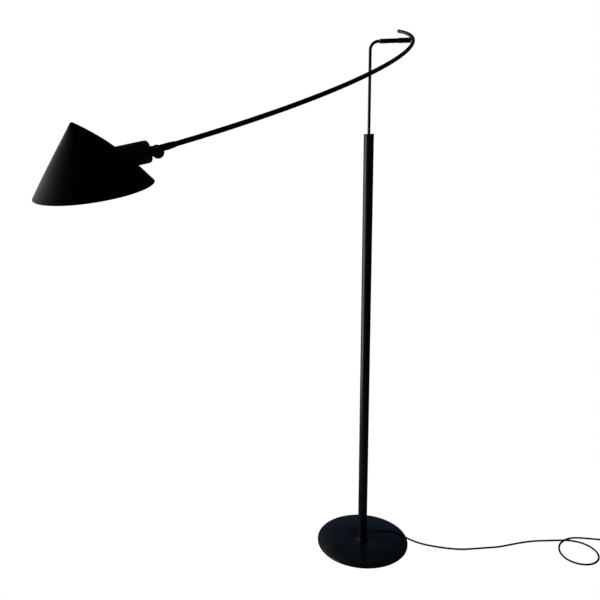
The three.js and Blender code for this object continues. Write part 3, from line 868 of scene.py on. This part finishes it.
def frame_along(origin, direction, roll=0.0):
    """Placement with X along a direction and Z upwards, turned about X by roll. Millimetres in."""
    up = flat(Vector((0, 0, 1)), direction)
    side = up.cross(direction)
    z = up * cos(roll) + side * sin(roll)
    y = z.cross(direction)
    turn = Matrix((direction, y, z)).transposed().to_4x4()
    return Matrix.Translation(origin * MM) @ turn


def shift(x, y, z):
    return Matrix.Translation((x * MM, y * MM, z * MM))


LIE_X = Matrix.Rotation(pi / 2, 4, "Y")  # a turned piece's axis laid along X
LIE_Y = Matrix.Rotation(-pi / 2, 4, "X")
BAR_FRAME = Matrix.Translation((0, 0, BAR_Z * MM)) @ Matrix.Rotation(BAR_AZ, 4, "Z")
TAIL_FRAME = frame_along(on_arc(TAIL_ANGLE), arc_direction(TAIL_ANGLE))
END_FRAME = frame_along(on_arc(HEAD_ANGLE), -arc_direction(HEAD_ANGLE))
ROLLED = frame_along(on_arc(HEAD_ANGLE), -arc_direction(HEAD_ANGLE), HEAD_ROLL)
FORK = ROLLED @ shift(KNUCKLE_AHEAD, 0, -KNUCKLE_DROP)
SHAFT = FORK @ shift(0, 0, KNUCKLE_DROP) @ LIE_X
HEAD = FORK @ Matrix.Rotation(HEAD_TILT, 4, "Y")
HOLDER = HEAD @ shift(0, 0, HOLDER_RISE) @ LIE_X


# ------------------------------------------------------------------ base and post
def make_base():
    disc = [
        (6.4, 5.6),
        (14, 5.6),
        (14, 2.3),
        (BASE_R - 0.6, 2.3, 0.6),
        (BASE_R, 2.7, 0.4),
        (BASE_R, PLATE_TOP, 1.8),
        (6.4, PLATE_TOP),
    ]
    turned("base_disc", disc, "base", ["base_plate"], "disc_black", 192, True, 0.4, sharp=50)
    ring_r = POST_R + 4.2
    collar = [(POST_R + 0.15, 9.1), (ring_r, 9.1, 0.2), (ring_r, 15, 1.3), (POST_R + 0.15, 15, 0.4)]
    turned("post_foot_ring", collar, "base", ["foot_collar"], "black_paint", 96, True, 0.3)
    pad = [(0, 0), (PAD_R, 0, 0.6), (PAD_R, PAD_TOP, 0.4), (0, PAD_TOP)]
    turned("floor_pad", pad, "base", ["base_pad"], "rubber", 128, False, 0.4)


def make_post():
    tube = [(POST_BORE, 9.3), (POST_R, 9.3), (POST_R, POST_TOP), (POST_BORE, POST_TOP)]
    post = rough_piece("post", lathe(rounded(tube, 0.3, closed=True), 96, True))
    drill = Matrix.Translation((0, 0, EXIT_Z * MM)) @ Matrix.Rotation(EXIT_AZ, 4, "Z") @ LIE_X
    hole = rough_piece("hole", cylinder(OUTLET_R, 2, 20, 40, 0), drill)
    carve(post, "DIFFERENCE", hole)
    settle(post, "base", ["post_tube"], "post_black")
    flange = POST_R + 0.6
    bush = [
        (ROD_R + 0.3, CAP_FROM),
        (POST_BORE - 0.3, CAP_FROM),
        (POST_BORE - 0.3, POST_TOP + 0.2),
        (flange, POST_TOP + 0.2, 0.3),
        (flange, CAP_TOP, 1.0),
        (ROD_R + 0.3, CAP_TOP, 0.5),
    ]
    turned("post_top_bush", bush, "base", ["post_cap"], "black_paint", 96, True, 0.3)
    wall = POST_R + 0.1
    gland = [
        (3.05, POST_BORE - 0.6),
        (3.9, POST_BORE - 0.6),
        (3.9, wall),
        (5.5, wall, 0.3),
        (5.5, wall + 1.3, 0.5),
        (4.6, wall + 1.9, 0.3),
        (4.2, wall + 3.4, 0.6),
        (3.05, wall + 3.4, 0.4),
    ]
    turned("cord_grommet", gland, "base", ["cord_gland"], "plastic", 48, True, 0.3, drill)


def make_inner_wires():
    """Leads inside the post, rod, arm and head."""
    knots = [outlet(10.6), outlet(8), (2.2, -1.6, 52.5), (0, 0, 61), (0, 0, 72)]
    bend = catmull(millimetres(knots), 0.0015)
    post_line = bend + millimetres([(0, 0, z) for z in (110, 300, 520, 740)])
    finish_piece("lead_in_post", sweep(post_line, 2.6 * MM, 16), "base", ["post_wire"], "cord")
    rod_line = [p * MM for p in rod_points(ROD_FOOT - 5, BAR_END - 2, 12)]
    finish_piece("lead_in_rod", sweep(rod_line, 2.1 * MM, 14), "rod", ["rod_wire"], "wire")
    start = catmull([on_bar(x) * MM for x in (68, 90, 104, 107.6)], 0.006)
    turn = (on_bar(JOINT_LONG - 0.6) - arc_direction(0) * 1.6) * MM
    first = radians(-0.6)
    rest = [on_arc(first + (HEAD_ANGLE - first) * i / 60) * MM for i in range(61)]
    lead = sweep([*start, turn, *rest], 1.4 * MM, 12)
    finish_piece("lead_in_arm", lead, "arm", ["arm_wire"], "wire")
    head_line = [HEAD @ (Vector((x, 0, HOLDER_RISE)) * MM) for x in (12.5, 20, 28, 36, 43)]
    finish_piece("lead_in_head", sweep(head_line, 1.2 * MM, 12), "head", ["head_wire"], "wire")


# ------------------------------------------------------------------ rod
def rod_points(foot, end, steps):
    points = [Vector((0, 0, foot)), Vector((0, 0, 1200))]
    for i in range(steps + 1):
        angle = pi / 2 * i / steps
        out = on_bar(BEND_R * (1 - cos(angle)))
        points.append(Vector((out.x, out.y, BAR_Z - BEND_R + BEND_R * sin(angle))))
    points.append(on_bar(end))
    return points


def make_rod():
    line = [p * MM for p in rod_points(ROD_FOOT, BAR_END, 20)]
    tube = sweep(line, ROD_R * MM, 40, ROD_BORE * MM)
    finish_piece("bent_rod", tube, "rod", ["rod_tube"], "black_paint")
    ring = [(4.2, 24.4), (6.3, 24.4, 0.5), (6.3, 26.8, 0.5), (4.2, 26.8)]
    turned("bar_stop_ring", ring, "rod", ["bar_collar"], "steel", 64, True, 0.2, BAR_FRAME @ LIE_X)


# ------------------------------------------------------------------ arm
def make_arm():
    sleeve = [
        (4.3, 27.3),
        (5.75, 27.3, 0.5),
        (5.75, 72.7, 0.3),
        (5.55, 72.7),
        (5.55, 60),
        (4.3, 60),
    ]
    at = BAR_FRAME @ LIE_X
    turned("arm_sleeve", sleeve, "arm", ["pivot_sleeve"], "post_black", 64, True, 0.1, at)
    joint = [(2.6, 73), (6.5, 73, 0.7), (6.5, 104.7, 0.7), (2.6, 104.7)]
    turned("arm_joint", joint, "arm", ["arm_block"], "black_paint", 64, True, 0.2, at)

    count = 160
    sweep_angle = TAIL_ANGLE - HEAD_ANGLE
    line = [on_arc(HEAD_ANGLE + sweep_angle * i / count) * MM for i in range(count + 1)]
    arm = rough_piece("curved_arm", sweep(line, ARM_R * MM, 40, ARM_BORE * MM))
    drilled = [on_bar(JOINT_LONG - 8) * MM, on_bar(JOINT_LONG - 1) * MM]
    hole = rough_piece("hole", sweep(drilled, 2.5 * MM, 24))
    carve(arm, "DIFFERENCE", hole)
    settle(arm, "arm", ["arm_tube"], "black_paint")

    stopper = [
        (0, -11),
        (2.6, -11, 0.5),
        (3.05, -10, 0.3),
        (3.05, 0.3),
        (4.9, 0.3, 0.4),
        (4.9, 7.5, 0.4),
        (4.6, 9.0, 1.2),
        (3.4, 9.8, 0.8),
        (0, 9.8),
    ]
    at = TAIL_FRAME @ LIE_X
    # The stopper's warm grey colour is partly a painted highlight of the light on the arm's tail
    turned("arm_end_stopper", stopper, "arm", ["arm_end_plug"], "grey_rubber", 48, False, 0.3, at)

    ferrule = [
        (ARM_R + 0.1, -12),
        (ARM_R + 0.6, -12, 0.2),
        (FERRULE_R, 2, 1.5),
        (FERRULE_R, 7, 0.3),
        (4.3, 7),
        (4.3, 0.3),
        (ARM_R + 0.1, 0.3),
    ]
    socket_wall = lathe(rounded(ferrule, 0.15, closed=True), 64, True)
    piece = rough_piece("arm_ferrule_cap", socket_wall, END_FRAME @ LIE_X)
    tapped = rough_piece("tapped", cylinder(1.3, 0, 8, 24, 0), END_FRAME @ shift(4, 0, 0))
    carve(piece, "DIFFERENCE", tapped)
    settle(piece, "arm", ["arm_ferrule"], "black_paint")


# ------------------------------------------------------------------ knuckle
def lug(low, high, radius=LUG_R, edge=0.5):
    return cylinder(radius, low, high, 72, edge)


def bolt_way(place, low=-20, high=20):
    """The hole that lets the knuckle bolt through."""
    return rough_piece("bolt_way", lug(low, high, BOLT_R + 0.3, 0), place @ LIE_Y)


def make_knuckle():
    """Fork and head halves of the friction joint, its bolt, its nut and its knob."""
    shaft = [
        (0, -21.2),
        (3.9, -21.2, 0.4),
        (3.9, -19.4),
        (3.1, -19.4),
        (3.1, -16.6),
        (3.9, -16.6),
        (3.9, -14.7),
        (FERRULE_R, -14.7, 0.3),
        (FERRULE_R, -3.5, 0.8),
        (0, -3.5),
    ]
    fork = rough_piece("fork_half", lathe(rounded(shaft, 0.15), 64), SHAFT)
    carve(fork, "UNION", rough_piece("disc", lug(-LUG_OUT, -LUG_IN), FORK @ LIE_Y))
    # The room's floor stays a hair off the disc's face: faces in one plane break the boolean.
    hair = 0.02
    carve(
        fork,
        "DIFFERENCE",
        rough_piece("room", lug(-LUG_IN + hair, 8.3, LUG_R + 0.4, 0), FORK @ LIE_Y),
        rough_piece("way", cylinder(1.8, -30, 20, 24, 0), SHAFT),
        bolt_way(FORK),
    )
    settle(fork, "fork", ["knuckle_fork"], "black_paint", 30)

    neck = box_mesh((0, HOLDER_BACK - 0.1), (-5, LUG_OUT), (-5.5, LUG_R), 0.9)
    head = rough_piece("head_half", neck, HEAD)
    carve(head, "UNION", rough_piece("disc", lug(LUG_IN, LUG_OUT), HEAD @ LIE_Y))
    carve(
        head,
        "DIFFERENCE",
        rough_piece("room", lug(-8.3, LUG_IN, NECK_CLEAR, 0), HEAD @ LIE_Y),
        rough_piece("way", cylinder(2.5, -20, 30, 24, 0), HOLDER),
        bolt_way(HEAD),
    )
    settle(head, "head", ["head_lug"], "black_paint", 30)

    stud = rough_piece("knuckle_bolt", cylinder(BOLT_R, -12.5, 12.4, 40, 0.3), FORK @ LIE_Y)
    carve(stud, "UNION", rough_piece("end", cylinder(3.4, -12.5, -10.6, 40, 0.6), FORK @ LIE_Y))
    settle(stud, "fork", ["pivot_bolt"], "steel")
    corner = NUT_FLATS / sqrt(3)
    nut_body = lathe([(0, -10.3), (corner, -10.3), (corner, -6.6), (0, -6.6)], 6)
    nut = rough_piece("knuckle_nut", nut_body, FORK @ LIE_Y)
    softened = [(0, -10.3), (4.05, -10.3, 0.7), (4.05, -6.6, 0.7), (0, -6.6)]
    dome = rough_piece("dome", lathe(rounded(softened, 0.7), 64), FORK @ LIE_Y)
    carve(nut, "INTERSECT", dome)
    carve(nut, "DIFFERENCE", bolt_way(FORK))
    settle(nut, "fork", ["pivot_nut"], "steel", 30)
    make_knob()


def make_knob():
    """Round clamp knob with a milled rim."""
    teeth = 36
    bm = bmesh.new()
    stations = [
        (0, 6.7),
        (8.6, 6.7),
        (9.6, 7.3),
        (10.05, 8.0),
        (10.05, 12.6),
        (9.5, 13.5),
        (8.4, 14.1),
        (5.5, 14.2),
        (4.8, 13.8),
        (0, 13.7),
    ]
    sides = teeth * 4
    rings = []
    for r, y in stations:
        if r == 0:
            rings.append([bm.verts.new((0, y * MM, 0))] * sides)
            continue
        ring = []
        for i in range(sides):
            angle = 2 * pi * i / sides
            depth = 0.0
            if r > 9.9:
                depth = 0.32 if i % 4 in (0, 1) else -0.1
            at = Vector(((r - depth) * cos(angle), y, (r - depth) * sin(angle))) * MM
            ring.append(bm.verts.new(at))
        rings.append(ring)
    join_rings(bm, zip(rings, rings[1:]))
    knob = rough_piece("knuckle_knob", bm, FORK)
    carve(knob, "DIFFERENCE", bolt_way(FORK, 0, 12.7))
    settle(knob, "knob", ["clamp_knob"], "black_paint", 30)


# ------------------------------------------------------------------ lampholder, bulb and shade
def make_holder():
    cap = [
        (2.2, 11.5),
        (15.2, 11.5, 1.2),
        (18.6, 14.5, 1.6),
        (19.5, 17.9, 1.4),
        (19.5, 21.05, 0.3),
        (18, 21.05),
        (18, 27),
        (16.6, 27),
        (16.6, 18),
        (14, 13.5),
        (2.2, 13.5),
    ]
    turned("holder_end_cap", cap, "head", ["holder_cap"], "black_paint", 96, True, 0.3, HOLDER)
    cup = [(18.3, 21.35), (19.5, 21.35, 0.3), (19.5, 76, 0.6), (18.3, 76, 0.3)]
    turned("holder_shell", cup, "head", ["holder_cup"], "black_paint", 96, True, 0.3, HOLDER)
    core = [(2.2, 42), (17.9, 42, 0.8), (17.9, 72, 1.2), (15, 72, 0.8), (15, 48.6), (2.2, 48.6)]
    turned("porcelain_core", core, "head", ["holder_core"], "porcelain", 64, True, 0.4, HOLDER)
    waves = [(14.55 + 0.15 * cos(2 * pi * k / 10), 50 + 2.05 * k) for k in range(11)]
    thread = [(14.2 - 0.35 * cos(2 * pi * k / 5), 50.4 + 0.41 * k) for k in range(50)]
    shell = [(9, 49), (14.7, 49), *waves[1:-1], (14.7, 71), *thread[::-1], (13.9, 50), (9, 50)]
    turned("thread_shell", shell, "head", ["screw_shell"], "brass", 64, True, 0.0, HOLDER)
    tongue = [(0, 49), (4.4, 49, 0.3), (4.4, 50.4, 0.3), (2, 51.6, 0.5), (0, 51.6)]
    turned("contact_tongue", tongue, "head", ["centre_contact"], "brass", 40, False, 0.2, HOLDER)


def make_bulb():
    thread = [(12.75 + 0.35 * cos(2 * pi * k / 8), 57 + 0.45 * k) for k in range(40)]
    foot = [(0, 52), (3.6, 52, 0.5), (4.6, 54.0, 0.5), (10.2, 55.6, 0.6)]
    cap = [*foot, *thread, (12.6, 78), (11.4, 78), (11.4, 58), (0, 56.6)]
    turned("bulb_screw_cap", cap, "head", ["bulb_cap"], "steel", 64, False, 0.0, HOLDER)
    outline = [
        (13, 78.4),
        (13.3, 82),
        (14.6, 88),
        (17.8, 96),
        (22.2, 104),
        (26.4, 112),
        (28.9, 119.6),
        (29.6, 127.4),
        (28.9, 135),
        (26.6, 142.4),
        (22.8, 149),
        (17.6, 154.6),
        (11.4, 158.4),
        (5.0, 159.8),
        (0, 160),
    ]
    fine = [Vector((p.x, p.y)) for p in catmull([(r, x, 0) for r, x in outline], 1.6)]
    fine[-1].x = 0
    wall = 0.9
    tip = 159.0
    inner = [Vector((max(0.0, p.x - wall), min(p.y + 0.2, tip))) for p in reversed(fine[:-1])]
    inner = [p for p in inner if p.y > 78.6 and p.x > 0.2]
    inner = [Vector((0, tip)), *inner, Vector((11.8, 78.4))]
    bm = lathe([(p.x, p.y) for p in [*fine, *inner]] + [tuple(fine[0])], 72)
    finish_piece("bulb_envelope", bm, "head", ["bulb_glass"], "glass", 60, HOLDER)


SHADE_AHEAD = 120.3
SHADE_DROP = 39.2
SHADE_LEAN = radians(3.4)
SHADE_PROFILE = [  # height above the rim, radius, sideways shift of the tip
    (0, 103.7, 0),
    (29.8, 80.9, 0.4),
    (65.9, 50.3, 2.6),
    (79.4, 37.9, 4.3),
    (91, 26.3, 6.5),
    (101.5, 15.2, 9.1),
    (109.2, 6.9, 11.5),
    (112.7, 2.8, 12.7),
    (113.7, 0, 13.1),
]
SHADE_FRAME = HEAD @ shift(SHADE_AHEAD, 0, -SHADE_DROP) @ Matrix.Rotation(-SHADE_LEAN, 4, "Y")


def shade_stations():
    """Height, radius and shift of the tip, eased between the drawn stations."""
    fine = catmull(SHADE_PROFILE[:-1], 3.0)
    return [tuple(p) for p in fine] + [(113.45, 1.4, 12.95), (113.7, 0.0, 13.1)]


def hat(inset, drop, floor=None):
    """Leaning cone; the tip leans away from the arm."""
    bm = bmesh.new()
    segments = 128
    rings = []
    stations = shade_stations()
    if floor is not None:
        stations = [(floor + drop, stations[0][1], 0.0)] + stations
    for z, r, s in stations:
        size = r - inset
        if size <= 0.05:
            rings.append([bm.verts.new(Vector((s, 0, z - drop)) * MM)] * segments)
            if inset > 0:
                break
            continue
        ring = []
        for i in range(segments):
            angle = 2 * pi * i / segments
            at = Vector((s + size * cos(angle), size * sin(angle), z - drop)) * MM
            ring.append(bm.verts.new(at))
        rings.append(ring)
    join_rings(bm, zip(rings, rings[1:]))
    if rings:
        bm.faces.new(rings[0])
        if len(set(rings[-1])) > 1:
            bm.faces.new(rings[-1])
    return bm


def make_shade():
    shade = rough_piece("cone_shade", hat(inset=0.0, drop=0.0), SHADE_FRAME)
    inside = rough_piece("inside", hat(inset=1.5, drop=0.9, floor=-4.0), SHADE_FRAME)
    carve(shade, "DIFFERENCE", inside)
    bore = HOLDER_R + 0.4
    sleeve = [(bore, 20), (bore + 1.4, 20), (bore + 1.4, 74), (bore, 74)]
    collar = rough_piece("collar", lathe(sleeve, 96, True), HOLDER)
    limit = rough_piece("limit", hat(inset=0.25, drop=0.1), SHADE_FRAME)
    carve(collar, "INTERSECT", limit)
    carve(shade, "UNION", collar)
    drill = rough_piece("drill", cylinder(bore, -60, 78, 96, 0), HOLDER)
    carve(shade, "DIFFERENCE", drill)
    settle(shade, "head", ["shade"], "shade_black", 28)
    line_shade(shade)


def line_shade(shade):
    """Gives the light lining to the faces that look down into the shade, but not to its rim."""
    shade.data.materials.append(LOOKS["shade_inside"])
    to_rim = SHADE_FRAME.inverted() @ shade.matrix_world
    for face in shade.data.polygons:
        looks_down = (to_rim.to_3x3() @ face.normal).z < -0.05
        if looks_down and (to_rim @ face.center).z > 0.5 * MM:
            face.material_index = 1


make_base()
make_post()
make_rod()
make_arm()
make_knuckle()
make_holder()
make_bulb()
make_shade()
make_inner_wires()

# CAD nodes whose shape is right keep it and get their finish
for name, look in {
    "fixing_bolt": "steel",
    "lock_washer": "steel",
    "foot_plug": "steel",
    "collar_screw": "steel",
    "cord_clamp": "plastic",
    "rod_guide": "plastic",
    "friction_ring": "rubber",
    "guide_clip_lower": "steel",
    "guide_clip_upper": "steel",
    "bar_end_nut": "steel",
    "ferrule_screw": "steel",
    "friction_washer": "steel",
    "shade_screw_1": "steel",
    "shade_screw_2": "steel",
}.items():
    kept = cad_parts[name]
    kept.data.materials.clear()
    kept.data.materials.append(LOOKS[look])


# ------------------------------------------------------------------ studio
def soft_light(name, place, target, size, power, colour=(1, 1, 1)):
    data = bpy.data.lights.new(name, "AREA")
    data.shape = "RECTANGLE"
    data.size, data.size_y = size
    data.energy = power
    data.color = colour
    light = bpy.data.objects.new(name, data)
    aim = (Vector(target) - Vector(place)).to_track_quat("-Z", "Y")
    light.matrix_world = Matrix.Translation(place) @ aim.to_matrix().to_4x4()
    light.visible_camera = False
    bpy.context.collection.objects.link(light)


def white_for_the_eye(tree, unseen):
    """Mixes plain white, for what the camera sees, with what only lights the lamp."""
    rays = tree.nodes.new("ShaderNodeLightPath")
    white = tree.nodes.new("ShaderNodeEmission")
    mixed = tree.nodes.new("ShaderNodeMixShader")
    tree.links.new(rays.outputs["Is Camera Ray"], mixed.inputs[0])
    tree.links.new(unseen, mixed.inputs[1])
    tree.links.new(white.outputs[0], mixed.inputs[2])
    return mixed.outputs[0]


def make_studio():
    """White floor and surround; a tall soft light on the left and two behind the lamp."""
    bm = bmesh.new()
    bmesh.ops.create_grid(bm, x_segments=1, y_segments=1, size=14)
    mesh = bpy.data.meshes.new("studio_floor")
    bm.to_mesh(mesh)
    bm.free()
    floor = bpy.data.objects.new("studio_floor", mesh)
    floor.location = (0, 0, -0.0002)
    bpy.context.collection.objects.link(floor)
    material, tree, shader = start_material("studio_white", Roughness=0.9, Specular_IOR_Level=0.0)
    shader.inputs["Base Color"].default_value = (0.2, 0.27, 0.34, 1)
    surface = tree.nodes["Material Output"].inputs["Surface"]
    tree.links.new(white_for_the_eye(tree, shader.outputs[0]), surface)
    floor.data.materials.append(material)

    world = bpy.data.worlds.new("studio")
    bpy.context.scene.world = world
    world.use_nodes = True
    tree = world.node_tree
    dim = tree.nodes["Background"]
    dim.inputs["Color"].default_value = (0.7, 0.8, 1.0, 1)
    dim.inputs["Strength"].default_value = 0.03
    around = tree.nodes["World Output"].inputs["Surface"]
    tree.links.new(white_for_the_eye(tree, dim.outputs[0]), around)
    for name, *light in (
        ("tall_softbox", (-1.35, -0.02, 0.95), (0, 0, 0.95), (1.15, 2.0), 22, (1, 0.98, 0.94)),
        ("back_wall_light", (-0.5, 2.4, 2.1), (0.12, 0.2, 1.54), (0.5, 0.6), 1.3, (1, 0.9, 0.72)),
        ("back_low_light", (0.3, 2.5, 1.0), (0, 0, 0), (1.6, 1.0), 0.8, (0.28, 0.58, 1.0)),
    ):
        soft_light(name, *light)
    bpy.context.scene.view_settings.view_transform = "Standard"


make_studio()
